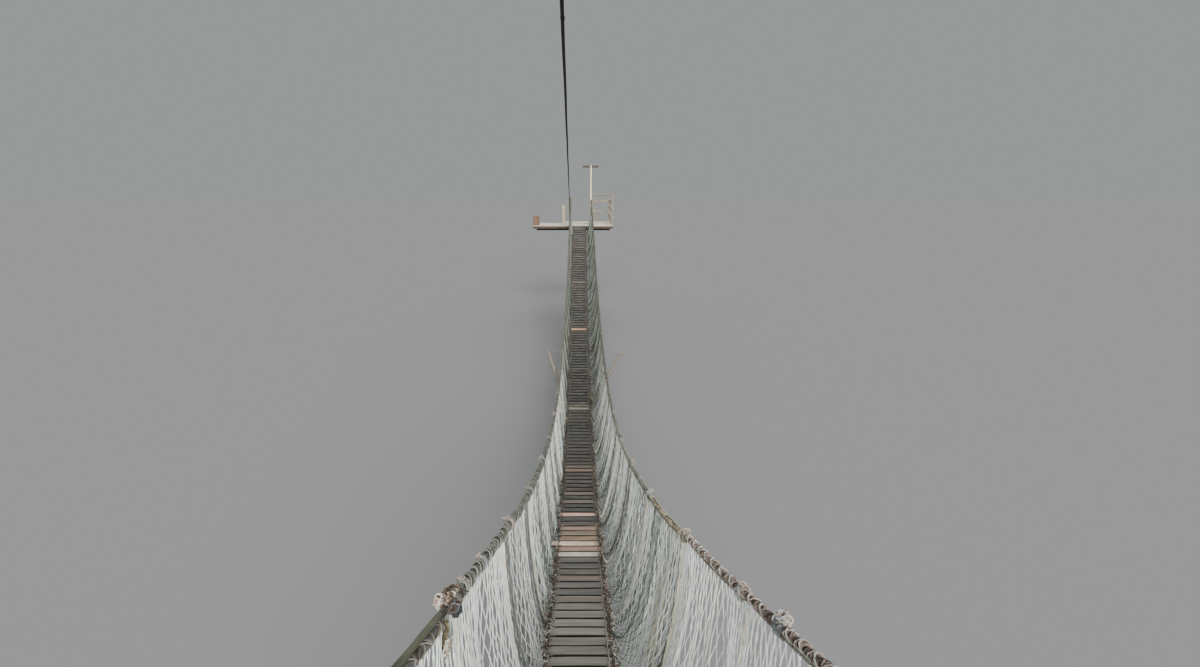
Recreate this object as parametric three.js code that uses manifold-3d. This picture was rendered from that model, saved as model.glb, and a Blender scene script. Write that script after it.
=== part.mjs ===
// Rope suspension footbridge between two tree platforms: a plank deck on two cables, rope
// handrails with netting down to the deck, a taut cable overhead, a spreader of poles at mid span.
// Millimetres, +Z up, +Y from the near platform to the far one. The origin lies on the face of
// the near platform's front bearer, where it rests against the tree.
import * as THREE from "three";
import { mergeVertices } from "three/addons/utils/BufferGeometryUtils.js";
import Module from "manifold-3d";

const wasm = await Module();
wasm.setup();

// The span
const span = 29560;
const sag = 4210;
const bayCount = 19; // from one pair of hanger ropes to the next
const stretchesPerBay = 2; // straight stretches of deck in a bay
const planksPerStretch = 4;
const panels = [3, 3, 3, 1, 3, 3, 3]; // bays in each length of deck and of netting

// The deck
const plankLength = 620;
const plankWidth = 178;
const plankThick = 30;
const lacingInset = 26; // from a plank's end to its lacing cord
const lacingSize = 12;
const deckCableRadius = 16;
const deckCableInset = 40;

// The sides
const handrailHeight = 1280;
const handrailRadius = 19;
const headRopeRadius = 12;
const headRopeDip = 20; // how far the net's head rope hangs down between two knots
const firstKnot = 0.6; // in bays from the near edge; the knots and hanger ropes are a bay apart
const footRopeSize = 14;
const strandRadius = 5;
const strandsPerBay = 6;
const hangerRadius = 6.5;
const poleGap = 55; // from the middle of the spreader to the nets on each side of it
const netLean = 1.1; // 1 if the net's cords hung square to the sloping deck, 0 if plumb

// The platforms, with depths measured back from the edge that faces the bridge
const edgeGap = 20;
const floorThick = 40;
const joistDeep = 120;
const bearerDeep = 200;
const bearerWide = 100;
const platformLeft = -2360;
const wingEnd = -950; // the shallow left wing ends here
const platformRight = 1750;
const platformDepth = 3400;
const wingDepth = 2100;
const trunkX = 410;
const trunkDepth = 2000;
const trunkHalf = 310; // the bearers clasp the trunk at this distance from its middle
const trunkHole = 345;

const clearance = 0.3; // between pieces that rest against each other
const bearerTop = bearerDeep / 2;
const joistTop = bearerTop + joistDeep;
const floorTop = joistTop + floorThick;
const nearEdge = trunkDepth - trunkHalf + edgeGap; // puts the clasping face at y = 0
const farEdge = nearEdge + span;

const timber = new THREE.MeshStandardMaterial({ color: 0x7d7468, roughness: 0.9, metalness: 0 });
const darkTimber = new THREE.MeshStandardMaterial({ color: 0x3d332b, roughness: 0.9, metalness: 0 });
const palePole = new THREE.MeshStandardMaterial({ color: 0xa89a8c, roughness: 0.85, metalness: 0 });
const rope = new THREE.MeshStandardMaterial({ color: 0x9a988a, roughness: 0.95, metalness: 0 });
const netCord = new THREE.MeshStandardMaterial({ color: 0xb3bdb2, roughness: 0.95, metalness: 0 });
const steelCable = new THREE.MeshStandardMaterial({ color: 0x4a4c4b, roughness: 0.5, metalness: 0.8 });
const blackCable = new THREE.MeshStandardMaterial({ color: 0x1d2420, roughness: 0.6, metalness: 0 });
const barkTimber = new THREE.MeshStandardMaterial({ color: 0x6b4a3a, roughness: 0.95, metalness: 0 });

const bridge = new THREE.Group();
bridge.name = "rope_footbridge";

function solidOf(geometry) {
  const bare = new THREE.BufferGeometry();
  const source = geometry.index ? geometry.toNonIndexed() : geometry;
  bare.setAttribute("position", source.getAttribute("position"));
  const merged = mergeVertices(bare, 1e-3);
  return new wasm.Manifold(
    new wasm.Mesh({
      numProp: 3,
      vertProperties: merged.attributes.position.array,
      triVerts: new Uint32Array(merged.index.array),
    }),
  );
}

function geometryOf(solid) {
  const mesh = solid.getMesh();
  const points = new Float32Array(mesh.numVert * 3);
  for (let i = 0; i < mesh.numVert; i++) {
    const at = i * mesh.numProp;
    points.set(mesh.vertProperties.subarray(at, at + 3), i * 3);
  }
  const geometry = new THREE.BufferGeometry();
  geometry.setAttribute("position", new THREE.BufferAttribute(points, 3));
  geometry.setIndex(new THREE.BufferAttribute(mesh.triVerts, 1));
  geometry.computeVertexNormals();
  return geometry;
}

function join(geometries) {
  return wasm.Manifold.union(geometries.map(solidOf));
}

function addNode(name, solid, material) {
  const mesh = new THREE.Mesh(geometryOf(solid), material);
  mesh.name = name;
  bridge.add(mesh);
  return solid;
}

// A run of straight pieces from point to point
class Run extends THREE.Curve {
  constructor(points) {
    super();
    this.points = points;
  }

  getPoint(t, target = new THREE.Vector3()) {
    const last = this.points.length - 1;
    const along = Math.min(Math.max(t, 0), 1) * last;
    const i = Math.min(Math.floor(along), last - 1);
    return target.lerpVectors(this.points[i], this.points[i + 1], along - i);
  }

  getUtoTmapping(u) {
    return u;
  }
}

// A rope, cord or pole: a regular section with the given number of sides, one corner up
function ropeAlong(points, radius, sides) {
  const section = new THREE.Shape();
  for (let i = 0; i < sides; i++) {
    const angle = Math.PI / 2 + (2 * Math.PI * i) / sides;
    const x = radius * Math.cos(angle);
    const y = radius * Math.sin(angle);
    if (i === 0) section.moveTo(x, y);
    else section.lineTo(x, y);
  }
  return new THREE.ExtrudeGeometry(section, {
    steps: points.length - 1,
    bevelEnabled: false,
    extrudePath: new Run(points),
  });
}

// A square cord with flat top and bottom
function squareAlong(points, size) {
  const h = size / 2;
  const section = new THREE.Shape([
    new THREE.Vector2(-h, -h),
    new THREE.Vector2(h, -h),
    new THREE.Vector2(h, h),
    new THREE.Vector2(-h, h),
  ]);
  return new THREE.ExtrudeGeometry(section, {
    steps: points.length - 1,
    bevelEnabled: false,
    extrudePath: new Run(points),
  });
}

function block(x0, x1, y0, y1, z0, z1) {
  const geometry = new THREE.BoxGeometry(x1 - x0, Math.abs(y1 - y0), z1 - z0);
  geometry.translate((x0 + x1) / 2, (y0 + y1) / 2, (z0 + z1) / 2);
  return geometry;
}

// The deck's line: a parabola, and the points on it where straight stretches meet
const deckLine = new THREE.QuadraticBezierCurve3(
  new THREE.Vector3(0, nearEdge, floorTop),
  new THREE.Vector3(0, (nearEdge + farEdge) / 2, floorTop - 2 * sag),
  new THREE.Vector3(0, farEdge, floorTop),
);
const stretchCount = bayCount * stretchesPerBay;
const corners = deckLine.getSpacedPoints(stretchCount);
const stretchLength = corners[0].distanceTo(corners[1]);
const bayLength = stretchLength * stretchesPerBay;
const mm = 1 / bayLength; // one millimetre, counted in bays
const spreaderBay = panels.slice(0, 4).reduce((sum, bays) => sum + bays, 0);

// Point and upward normal at a place counted in bays from the near edge, 0 to bayCount
function deckAt(bay) {
  const along = bay * stretchesPerBay;
  const i = Math.min(Math.max(Math.floor(along), 0), stretchCount - 1);
  const point = new THREE.Vector3().lerpVectors(corners[i], corners[i + 1], along - i);
  const normal = new THREE.Vector3();
  const nearest = Math.round(along);
  const atCorner = Math.abs(along - nearest) < 1e-6 && nearest > 0 && nearest < stretchCount;
  const from = atCorner ? corners[nearest - 1] : corners[i];
  const to = atCorner ? corners[nearest + 1] : corners[i + 1];
  normal.set(0, from.z - to.z, to.y - from.y).normalize();
  return { point, normal };
}

function offDeck(bay, x, lift) {
  const { point, normal } = deckAt(bay);
  return new THREE.Vector3(x, point.y + normal.y * lift, point.z + normal.z * lift);
}

// Bay numbers of a run's points, from one place to another with the corners between
function placesFrom(start, end, step) {
  const places = [start];
  for (let bay = Math.floor(start / step + 1e-6) + 1; bay * step < end - 1e-6; bay++) {
    places.push(bay * step);
  }
  places.push(end);
  return places;
}

// 1 well before a place, 0 well past it
function before(bay, place, run) {
  return 1 / (1 + Math.exp((bay - place) / run));
}

// How far each handrail stands out from the middle: wide at the near end, narrow at the far one,
// and drawn in at once at one knot on each side
function spread(bay, side) {
  const near = Math.exp(-(((bay - 0.9) / 3.6) ** 2));
  const far = (bay / bayCount) ** 8;
  if (side > 0) return 720 + 410 * near + 35 * before(bay, 3.67, 0.08) - 110 * far;
  return 462 + 325 * near + 25 * before(bay, 4, 0.08) + 50 * before(bay, 12.7, 0.6) - 47 * far;
}

function handrailAt(bay, side) {
  const { point } = deckAt(bay);
  return new THREE.Vector3(side * spread(bay, side), point.y, point.z + handrailHeight);
}

// The head rope touches the handrail at each knot and hangs below it between the knots
function headRopeAt(bay, side) {
  const drop = handrailRadius + headRopeRadius + clearance;
  const dip = headRopeDip * Math.abs(Math.sin(Math.PI * (bay - firstKnot)));
  const { normal } = deckAt(bay);
  return handrailAt(bay, side).addScaledVector(normal, -drop - dip);
}

const footX = plankLength / 2 + 0.5 + footRopeSize / 2;
function footAt(bay, side) {
  return offDeck(bay, side * footX, -plankThick / 2);
}

// On the slopes a net's cords lean, so each is tied to the deck nearer the bridge's end. This is
// the foot's place for a place at the head; at the spreader and at both ends they are the same
function footBay(bay) {
  const slope = (8 * sag * (bay - spreaderBay)) / (bayCount * span);
  const ramp = THREE.MathUtils.smoothstep(Math.min(bay, bayCount - bay), 0, 3);
  return bay + (netLean * handrailHeight * slope * ramp) / bayLength;
}

// The net hangs slack: from the deck's edge it drops outward below the deck, then turns up to
// the head rope. v is 0 at the foot, 1 at the head
function netAt(bay, side, v) {
  const foot = footAt(footBay(bay), side);
  const head = headRopeAt(bay, side);
  const low = head.clone().lerp(foot, 1.55);
  low.x = foot.x + (head.x - foot.x) * 0.26;
  const high = head.clone().lerp(foot, 0.8);
  high.x = foot.x + (head.x - foot.x) * 0.83;
  return new THREE.CubicBezierCurve3(foot, low, high, head).getPoint(v);
}

// A cord in the net from one place on the foot rope to another just under the head rope
function netCordPath(lowBay, highBay, side) {
  const steps = [0, 0.18, 0.3, 0.46, 0.7, 1];
  const path = steps.map((v) => netAt(lowBay + (highBay - lowBay) * v, side, v));
  const last = path.length - 1;
  const back = path[last - 1].clone().sub(path[last]).setLength(headRopeRadius + 7);
  path[last].add(back);
  return path;
}

// Platforms. local depth to y: away from the bridge on both banks
function placer(bank) {
  return (depth) => (bank === "far" ? farEdge + edgeGap + depth : nearEdge - edgeGap - depth);
}

const bearerFront = trunkDepth - trunkHalf;
const bearerBack = trunkDepth + trunkHalf;
const frontJoist = {};
for (const bank of ["near", "far"]) {
  const y = placer(bank);
  const bearerEnd = platformRight - 60;
  for (const [word, left, low] of [
    ["front", platformLeft + 60, bearerFront - bearerWide],
    ["back", wingEnd + 20, bearerBack],
  ]) {
    const bearer = block(left, bearerEnd, y(low), y(low + bearerWide), -bearerTop, bearerTop);
    addNode(bank + "_bearer_" + word, solidOf(bearer), darkTimber);
  }

  // Joists run back from the front one, notched down on nothing: they sit on the bearers
  const joists = [
    block(platformLeft, platformRight, y(0), y(60), bearerTop, joistTop),
    block(wingEnd, platformRight, y(platformDepth - 60), y(platformDepth), bearerTop, joistTop),
    block(platformLeft, wingEnd + 10, y(wingDepth - 60), y(wingDepth), bearerTop, joistTop),
  ];
  for (const x of [platformLeft, -1685]) {
    joists.push(block(x, x + 60, y(10), y(wingDepth - 10), bearerTop, joistTop));
  }
  for (const x of [wingEnd, -480, 0, 780, 1240, platformRight - 60]) {
    joists.push(block(x, x + 60, y(10), y(platformDepth - 10), bearerTop, joistTop));
  }
  addNode(bank + "_joists", join(joists), darkTimber);
  frontJoist[bank] = solidOf(
    block(
      platformLeft,
      platformRight,
      y(-clearance),
      y(60),
      bearerTop - 60,
      joistTop + floorThick,
    ),
  );

  const slab = join([
    block(wingEnd, platformRight, y(0), y(platformDepth), joistTop, floorTop),
    block(platformLeft, wingEnd + 10, y(0), y(wingDepth), joistTop, floorTop),
  ]);
  const hole = new THREE.CylinderGeometry(trunkHole, trunkHole, 200, 20);
  hole.rotateX(Math.PI / 2);
  hole.translate(trunkX, y(trunkDepth), floorTop);
  addNode(bank + "_floor", slab.subtract(solidOf(hole)), timber);

  // The fence on the right: corner posts, three side boards, a back rail with short balusters
  const side = platformRight - 85;
  const back = platformDepth - 100;
  const railStart = bank === "far" ? 641 : 1191;
  const fence = [
    block(side, side + 70, y(20), y(90), floorTop, floorTop + 1560),
    block(side, side + 70, y(1700), y(1770), floorTop, floorTop + 1300),
    block(side, side + 70, y(back), y(back + 70), floorTop, floorTop + 1300),
    block(760, 830, y(back), y(back + 70), floorTop, floorTop + 1300),
    block(770, side + 10, y(back + 20), y(back + 50), floorTop + 560, floorTop + 640),
    block(770, side + 10, y(back + 20), y(back + 50), floorTop + 1110, floorTop + 1200),
    block(railStart, platformRight + 130, y(25), y(85), floorTop + 1490, floorTop + 1550),
  ];
  for (const height of [380, 810, 1160]) {
    const board = block(
      side + 40,
      side + 80,
      y(30),
      y(platformDepth - 20),
      floorTop + height,
      floorTop + height + 90,
    );
    fence.push(board);
  }
  for (const x of [1000, 1120, 1240]) {
    fence.push(block(x, x + 30, y(back + 20), y(back + 50), floorTop, floorTop + 570));
  }
  addNode(bank + "_fence", join(fence), palePole);
}

// Posts at the two ends of the walkway
const farY = placer("far");
const nearY = placer("near");
const overheadNear = new THREE.Vector3(-35, nearY(60), floorTop + 3400);
const overheadFar = new THREE.Vector3(-478, farY(75), floorTop + 1000);

const portal = addNode(
  "near_portal",
  join([
    block(1090, 1190, nearY(10), nearY(110), floorTop, floorTop + 3480),
    block(-900, -800, nearY(10), nearY(110), floorTop, floorTop + 3480),
    block(-980, 1270, nearY(20), nearY(100), floorTop + 3340, floorTop + 3460),
  ]),
  palePole,
);
const farLeftPost = addNode(
  "far_left_post",
  solidOf(block(-510, -390, farY(10), farY(100), floorTop, floorTop + 1420)),
  darkTimber,
);
const farMast = addNode(
  "far_mast",
  join([
    block(570, 640, farY(10), farY(80), floorTop, floorTop + 2960),
    block(200, 970, farY(76), farY(136), floorTop + 2850, floorTop + 2950),
  ]),
  palePole,
);
addNode(
  "far_side_post",
  solidOf(block(-860, -710, farY(240), farY(320), floorTop, floorTop + 1000)),
  palePole,
);
addNode(
  "far_stub_post",
  solidOf(block(-2340, -2040, farY(20), farY(160), floorTop, floorTop + 480)),
  barkTimber,
);

function grown(points, radius, sides) {
  return solidOf(ropeAlong(points, radius + clearance, sides));
}

function along(places, at, side) {
  return places.map((bay) => at(bay, side));
}

// Runs a rope's two ends level into the posts, which then cut them off at their faces
function intoPosts(points) {
  const first = points[0].clone();
  const last = points[points.length - 1].clone();
  first.y = nearEdge - 60;
  last.y = farEdge + 60;
  points.unshift(first);
  points.push(last);
}

// The ropes that run from end to end
const postSolids = wasm.Manifold.union([portal, farLeftPost, farMast]);
const postClearance = wasm.Manifold.union([
  solidOf(block(1090, 1190, nearY(10 - clearance), nearY(110), floorTop, floorTop + 2000)),
  solidOf(block(-900, -800, nearY(10 - clearance), nearY(110), floorTop, floorTop + 2000)),
  solidOf(block(-510, -390, farY(10 - clearance), farY(100), floorTop, floorTop + 1420)),
  solidOf(block(570, 640, farY(10 - clearance), farY(80), floorTop, floorTop + 2000)),
]);
const handrails = {};
const headRopes = {};
const cornerStep = 1 / stretchesPerBay;
for (const side of [-1, 1]) {
  const word = side < 0 ? "left" : "right";
  const places = placesFrom(0, bayCount, cornerStep);

  const rail = along(places, handrailAt, side);
  intoPosts(rail);
  addNode(
    "handrail_" + word,
    solidOf(ropeAlong(rail, handrailRadius, 6)).subtract(postClearance),
    rope,
  );
  handrails[side] = grown(rail, handrailRadius, 6);

  const headPlaces = placesFrom(0, bayCount, cornerStep);
  for (let bay = 0; bay < bayCount; bay++) headPlaces.push(bay + firstKnot);
  headPlaces.sort((a, b) => a - b);
  const head = along(headPlaces, headRopeAt, side);
  intoPosts(head);
  addNode(
    "net_head_rope_" + word,
    solidOf(ropeAlong(head, headRopeRadius, 4)).subtract(postClearance),
    rope,
  );
  headRopes[side] = grown(head, headRopeRadius, 4);

  const cableX = side * (plankLength / 2 - deckCableInset);
  const cableDrop = -plankThick - deckCableRadius - clearance;
  const cable = places.map((bay) => offDeck(bay, cableX, cableDrop));
  const lead = cable[0].clone().sub(cable[1]).setLength(50);
  cable.unshift(cable[0].clone().add(lead));
  const tail = cable[cable.length - 1].clone().sub(cable[cable.length - 2]).setLength(50);
  cable.push(cable[cable.length - 1].clone().add(tail));
  addNode(
    "deck_cable_" + word,
    solidOf(ropeAlong(cable, deckCableRadius, 6)).subtract(
      wasm.Manifold.union([frontJoist.near, frontJoist.far]),
    ),
    steelCable,
  );
}

// Each length of deck: planks laced together along the right-hand ends
let firstBay = 0;
panels.forEach((bays, panel) => {
  const start = firstBay;
  const end = firstBay + bays;
  const number = panel + 1;
  const deck = [];
  const stretches = bays * stretchesPerBay;
  for (let s = 0; s < stretches; s++) {
    const from = corners[start * stretchesPerBay + s];
    const to = corners[start * stretchesPerBay + s + 1];
    const slope = Math.atan2(to.z - from.z, to.y - from.y);
    for (let p = 0; p < planksPerStretch; p++) {
      const plank = new THREE.BoxGeometry(plankLength, plankWidth, plankThick);
      plank.translate(0, 0, -plankThick / 2);
      plank.rotateX(slope);
      const middle = new THREE.Vector3().lerpVectors(from, to, (p + 0.5) / planksPerStretch);
      plank.translate(0, middle.y, middle.z);
      deck.push(plank);
    }
  }
  const places = placesFrom(start + 8 * mm, end - 8 * mm, cornerStep);
  const lacingX = plankLength / 2 - lacingInset;
  const lacing = places.map((bay) => offDeck(bay, lacingX, lacingSize / 2 - 2));
  deck.push(squareAlong(lacing, lacingSize));
  addNode("deck_" + number, join(deck), timber);

  // Netting: a strand laced up and down between the foot rope and the head rope, and hanger ropes
  for (const side of [-1, 1]) {
    const word = side < 0 ? "left" : "right";
    const first = start + (start === spreaderBay ? poleGap : 10) * mm;
    const last = end - (end === spreaderBay ? poleGap : 10) * mm;
    const foot = along(placesFrom(footBay(first), footBay(last), cornerStep), footAt, side);
    const cords = [squareAlong(foot, footRopeSize)];
    const strands = bays * strandsPerBay;
    for (let c = 0; c < strands; c++) {
      const a = first + ((last - first) * c) / strands + 12 * mm;
      const b = first + ((last - first) * (c + 1)) / strands - 12 * mm;
      const rising = c % 2 === 0;
      const path = netCordPath(rising ? a : b, rising ? b : a, side);
      cords.push(ropeAlong(path, strandRadius, 3));
    }
    for (let bay = start; bay < end; bay++) {
      const knot = bay + firstKnot;
      cords.push(ropeAlong(netCordPath(knot, knot, side), hangerRadius, 4));
    }
    addNode("net_" + word + "_" + number, join(cords), netCord);
  }
  firstBay = end;
});

// The spreader at mid span: a pole under the deck, two poles that lean out, and a tie cord from
// each tip to the handrail a little farther on
const crossRadius = 30;
const poleRadius = 41;
const under = -plankThick - 2 * deckCableRadius - 2 * clearance - crossRadius;
const cross = offDeck(spreaderBay, 0, under);
const deckY = deckAt(spreaderBay).point;
const spreader = [
  ropeAlong(
    [new THREE.Vector3(-410, cross.y, cross.z), new THREE.Vector3(400, cross.y, cross.z)],
    crossRadius,
    8,
  ),
];
const poles = [
  { side: -1, tip: new THREE.Vector3(-870, deckY.y, deckY.z + 1700), foot: 348 },
  { side: 1, tip: new THREE.Vector3(1155, deckY.y, deckY.z + 1605), foot: 350 },
];
for (const { side, tip, foot } of poles) {
  spreader.push(ropeAlong([new THREE.Vector3(side * foot, cross.y, cross.z), tip], poleRadius, 8));
  const grip = tip.clone();
  grip.x -= side * 6;
  grip.z -= 30;
  const knot = handrailAt(spreaderBay + 0.75, side);
  spreader.push(ropeAlong([grip, knot], 5, 4));
}
const fork = poles[1].tip.clone();
spreader.push(
  ropeAlong(
    [
      new THREE.Vector3(fork.x - 75, fork.y, fork.z - 190),
      new THREE.Vector3(fork.x + 70, fork.y + 10, fork.z - 60),
      new THREE.Vector3(fork.x + 105, fork.y + 15, fork.z + 30),
    ],
    11,
    5,
  ),
);
addNode(
  "spreader",
  join(spreader)
    .subtract(handrails[-1])
    .subtract(handrails[1]),
  palePole,
);

// The overhead cable, taut from the near portal's header to the far left post
const overhead = solidOf(ropeAlong([overheadNear, overheadFar], 13, 8));
const headerClearance = solidOf(
  block(-980, 1270, nearY(20 - clearance), nearY(100), floorTop + 3340, floorTop + 3460),
);
addNode(
  "overhead_cable",
  overhead.subtract(headerClearance).subtract(postClearance),
  blackCable,
);

export default bridge;
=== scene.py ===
import math

import bmesh
import bpy
import numpy as np
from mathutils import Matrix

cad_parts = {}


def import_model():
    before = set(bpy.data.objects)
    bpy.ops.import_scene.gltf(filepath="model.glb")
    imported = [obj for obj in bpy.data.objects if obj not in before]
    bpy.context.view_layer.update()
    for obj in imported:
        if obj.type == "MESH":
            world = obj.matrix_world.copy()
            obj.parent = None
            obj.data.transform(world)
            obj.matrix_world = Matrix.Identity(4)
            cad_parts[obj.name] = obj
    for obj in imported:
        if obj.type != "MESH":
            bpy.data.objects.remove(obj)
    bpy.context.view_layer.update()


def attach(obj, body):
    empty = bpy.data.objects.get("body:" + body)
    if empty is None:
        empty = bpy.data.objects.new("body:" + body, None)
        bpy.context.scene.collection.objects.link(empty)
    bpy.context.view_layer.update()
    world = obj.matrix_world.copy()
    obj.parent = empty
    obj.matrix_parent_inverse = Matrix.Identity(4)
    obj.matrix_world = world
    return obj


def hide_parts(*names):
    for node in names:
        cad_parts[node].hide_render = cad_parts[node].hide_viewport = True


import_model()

# The camera. It stands over the near end of the deck, above head height, and looks
# down the bridge through a wide lens, with the frame moved a little to the right.
into_scene = bpy.context.scene.collection.objects.link
lens = bpy.data.cameras.new("camera")
lens.lens = 16.5
lens.sensor_width = 36.0
lens.shift_x = 0.0175
lens.clip_end = 500.0
camera = bpy.data.objects.new("camera", lens)
camera.location = (0.0, 2.590, 2.160)
camera.rotation_euler = (math.radians(90 - 14.9), 0, 0)
into_scene(camera)
bpy.context.scene.camera = camera

# The floor and the light. A plain pale floor lies under the lowest point of the sag. A high
# soft lamp stands ahead of the camera and a low one behind it, under an even pale sky.
floor_reach, floor_middle = 300, (0, 16, -4.7)
shape = bmesh.new()
bmesh.ops.create_grid(shape, x_segments=1, y_segments=1, size=floor_reach)
bmesh.ops.translate(shape, verts=shape.verts, vec=floor_middle)
floor_mesh = bpy.data.meshes.new("floor")
shape.to_mesh(floor_mesh)
shape.free()
floor = bpy.data.objects.new("floor", floor_mesh)
into_scene(floor)
floor_finish = bpy.data.materials.new("pale_floor")
floor_finish.use_nodes = True
floor_skin = floor_finish.node_tree.nodes["Principled BSDF"].inputs
floor_skin["Base Color"].default_value = (0.179, 0.1865, 0.1875, 1)
floor_skin["Roughness"].default_value = 1.0
floor_skin["Specular IOR Level"].default_value = 0.0
floor_mesh.materials.append(floor_finish)

sky = bpy.data.worlds.new("studio")
bpy.context.scene.world = sky
sky.use_nodes = True
sky_light = sky.node_tree.nodes["Background"].inputs
sky_light["Color"].default_value = (0.95, 0.99, 1.0, 1)
sky_light["Strength"].default_value = 0.36

for name, energy, turn, blur in (("high_lamp", 2.0, (-24, 10, 0), 70),
                                 ("low_lamp", 8.5, (68, 0, 6), 30)):
    lamp = bpy.data.lights.new(name, "SUN")
    lamp.energy = energy
    lamp.angle = math.radians(blur)
    lamp.color = (1.0, 0.985, 0.95)
    lamp_object = bpy.data.objects.new(name, lamp)
    lamp_object.rotation_euler = [math.radians(angle) for angle in turn]
    into_scene(lamp_object)

# The deck. Sawn hardwood planks, 620 x 178 x 30 mm, eight to a bay, lie across two
# cables in one long sag. They have weathered grey; a few were replaced and are still tan.
near_edge, far_edge, deck_top, sag = 1.71, 31.27, 0.26, 4.21
bays, planks_per_bay = 19, 8
plank_size = (0.620, 0.178, 0.030)
panels = [3, 3, 3, 1, 3, 3, 3]
span = far_edge - near_edge
line_t = np.linspace(0, 1, 4001)
line_y = near_edge + span * line_t
line_z = deck_top - 4 * sag * line_t * (1 - line_t)
line_run = np.concatenate([[0], np.cumsum(np.hypot(np.diff(line_y), np.diff(line_z)))])
bay_length = line_run[-1] / bays
line_bay = line_run / bay_length


def deck_at(bay):
    """The deck's middle line at a place counted in bays, with its direction and its normal."""
    y = np.interp(bay, line_bay, line_y)
    z = np.interp(bay, line_bay, line_z)
    rise = -4 * sag * (1 - 2 * (y - near_edge) / span) / span
    size = np.hypot(1, rise)
    none = np.zeros_like(y)
    point = np.stack([none, y, z], -1)
    along = np.stack([none, 1 / size, rise / size], -1)
    normal = np.stack([none, -rise / size, 1 / size], -1)
    return point, along, normal


def paint(red, green, blue):
    """A colour as seen, from 0 to 255, as the light it sends back."""
    seen = np.array([red, green, blue], float) / 255
    return np.where(seen <= 0.04045, seen / 12.92, ((seen + 0.055) / 1.055) ** 2.4)


class Stock:
    """Gathers the shapes of one piece, then makes its mesh and hands it to the frame."""

    def __init__(self):
        self.points, self.faces, self.place, self.cut, self.hue = [], [], [], [], []
        self.count = 0

    def add(self, rings, place, cut, hue):
        """rings: tubes x rings x corners x 3. Walls between the rings, and a cap at each end."""
        at = np.arange(rings[..., 0].size).reshape(rings.shape[:3]) + self.count
        low, high = at[:, :-1], at[:, 1:]
        walls = np.stack([low, high, np.roll(high, -1, 2), np.roll(low, -1, 2)], -1)
        hue = hue[:, :, None] if np.ndim(hue) == 3 else np.reshape(hue, (-1, 1, 1, 3))
        hue = np.broadcast_to(hue, rings.shape).reshape(-1, 3)
        self.faces += [walls.reshape(-1, 4), at[:, 0], at[:, -1, ::-1]]
        self.points.append(rings.ravel())
        self.place.append(place.ravel())
        self.cut.append(np.broadcast_to(np.reshape(cut, (-1, 1, 1)), at.shape).ravel())
        self.hue.append(np.insert(hue, 3, 1, axis=1).ravel())
        self.count += at.size

    def piece(self, name, finish, slot, *nodes):
        """Makes the mesh; nodes are the solids that it stands in for."""
        mesh = bpy.data.meshes.new(name)
        corners = np.concatenate([block.ravel() for block in self.faces])
        sizes = np.concatenate([np.full(len(block), block.shape[1]) for block in self.faces])
        mesh.vertices.add(self.count)
        mesh.vertices.foreach_set("co", np.concatenate(self.points))
        mesh.loops.add(len(corners))
        mesh.loops.foreach_set("vertex_index", corners)
        mesh.polygons.add(len(sizes))
        mesh.polygons.foreach_set("loop_start", np.cumsum(sizes) - sizes)
        mesh.update(calc_edges=True)
        mesh.shade_smooth()
        mesh.set_sharp_from_angle(angle=math.radians(40))
        for mark, kind, store, values in (("place", "FLOAT_VECTOR", "vector", self.place),
                                          ("cut", "FLOAT", "value", self.cut),
                                          ("hue", "FLOAT_COLOR", "color", self.hue)):
            layer = mesh.attributes.new(mark, kind, "POINT")
            layer.data.foreach_set(store, np.concatenate(values))
        mesh.materials.append(finish)
        item = bpy.data.objects.new(name, mesh)
        into_scene(item)
        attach(item, "root")
        if nodes:
            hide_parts(*nodes)


def board(stock, middle, along, across, size, rng, hue, edge=0.005, stations=7, warp=1.0):
    """A sawn timber with rubbed edges, a little cupped, bowed and twisted, its ends off square."""
    length, width, thick = size
    half, flat, high = length / 2, width / 2 - edge, thick / 2 - edge
    # x, u and w run along, across and through it
    u = np.array([-flat, -flat / 2, 0, flat / 2, flat, width / 2, width / 2, flat, 0, -flat,
                  -width / 2, -width / 2])
    w = np.array([thick / 2] * 5 + [high, -high] + [-thick / 2] * 3 + [-high, high])
    x = np.concatenate([[-half], np.linspace(-half + edge, half - edge, stations), [half]])
    x, u, w = (np.array(v) for v in np.broadcast_arrays(x[:, None], u, w))
    u[[0, -1]] *= 1 - 2 * edge / width
    w[[0, -1]] *= 1 - 2 * edge / thick
    place = np.stack([x, u, w], -1)
    reach = x / half
    cup, bow, twist, skew = rng.normal(0, 1, 4) * warp * (0.0012, 0.0016, 0.010, 0.020)
    uneven = 0.006 * rng.normal(0, 1, x.shape) * warp
    lift = w + cup * (2 * u / width) ** 2 + bow * (reach**2 - 0.4) + twist * reach * u
    shift = u * (1 + uneven) + 0.75 * bow * reach**2
    stretch = x + skew * u * reach
    up = np.cross(along, across)
    rings = middle + stretch[..., None] * along + shift[..., None] * across + lift[..., None] * up
    stock.add(rings[None], place, rng.random(), hue)


class Value:
    """A socket of a material that can be worked with as a number."""

    def __init__(self, finish, socket):
        self.finish, self.socket = finish, socket

    def work(self, operation, *values):
        settings = {"operation": operation}
        return self.finish.node("ShaderNodeMath", settings, dict(enumerate(values)))

    def __add__(self, other):
        return self.work("ADD", self, other)

    def __radd__(self, other):
        return self.work("ADD", other, self)

    def __sub__(self, other):
        return self.work("SUBTRACT", self, other)

    def __rsub__(self, other):
        return self.work("SUBTRACT", other, self)

    def __mul__(self, other):
        return self.work("MULTIPLY", self, other)

    def __rmul__(self, other):
        return self.work("MULTIPLY", other, self)

    def __abs__(self):
        return self.work("ABSOLUTE", self)

    def between(self, low, high):
        """0 below low, 1 above high, and smooth from one to the other."""
        settings = {"interpolation_type": "SMOOTHSTEP"}
        return self.finish.node("ShaderNodeMapRange", settings,
                                {"Value": self, "From Min": low, "From Max": high})


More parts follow.
